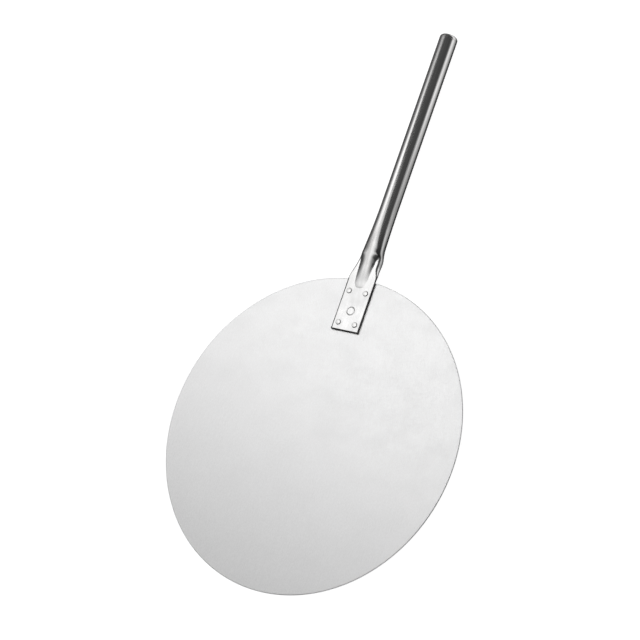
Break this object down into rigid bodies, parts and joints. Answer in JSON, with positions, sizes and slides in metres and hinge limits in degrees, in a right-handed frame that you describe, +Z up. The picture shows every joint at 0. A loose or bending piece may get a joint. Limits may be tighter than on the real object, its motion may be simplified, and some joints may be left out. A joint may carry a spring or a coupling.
{
  "type": "pizza peel",
  "caption": "Round flat metal pizza peel: a thin disc blade riveted to a short tubular handle whose end is pressed into a flat tab.",
  "frame": {"origin": "centre of the blade's flat underside", "axes": "+X from the blade's centre along the handle to its free end; +Z up, away from the blade's underside; +Y to the left when looking along +X from above"},
  "size_m": [0.607, 0.33, 0.019],
  "materials": {
    "blade_aluminium": "satin, fine brushed grain",
    "polished_steel": "polished stainless steel",
    "rivet_metal": "smooth, lightly burnished"
  },
  "bodies": {
    "root": {"blade": "blade_aluminium", "handle_tube": "polished_steel", "handle_end_cap": "polished_steel", "rivet_front_left": "rivet_metal", "rivet_front_right": "rivet_metal", "rivet_rear_left": "rivet_metal", "rivet_rear_right": "rivet_metal"}
  },
  "joints": []
}
